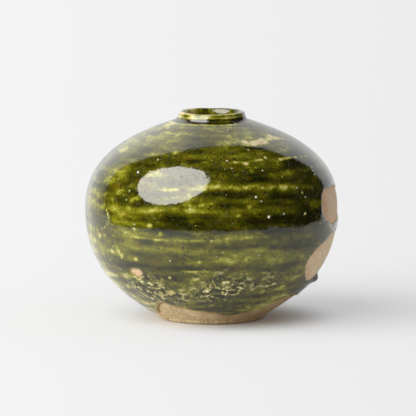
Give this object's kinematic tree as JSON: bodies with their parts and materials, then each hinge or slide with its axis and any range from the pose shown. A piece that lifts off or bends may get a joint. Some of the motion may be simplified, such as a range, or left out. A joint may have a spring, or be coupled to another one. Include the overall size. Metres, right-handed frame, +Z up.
{
  "type": "vase",
  "caption": "Squat round stoneware flower vase with a narrow foot, a short collar neck and a run green ash glaze that leaves bare clay patches.",
  "frame": {"origin": "centre of the foot ring, on the surface that the vase stands on", "axes": "+Z up along the axis the vase was thrown about, -Y towards the side the picture shows, +X to the right of it"},
  "size_m": [0.2002, 0.1993, 0.1643],
  "materials": {
    "fired_clay": "matte, fine sandy, flashed orange at the edges",
    "green_glaze": "glossy olive ash glaze with lighter runs",
    "inner_glaze": "glossy olive glaze, thinner"
  },
  "bodies": {
    "root": {"foot_base": "fired_clay", "lower_wall": "fired_clay", "upper_wall": "fired_clay", "neck_collar": "fired_clay", "body_glaze": "green_glaze", "neck_glaze": "green_glaze", "liner_glaze": "inner_glaze"}
  },
  "joints": []
}
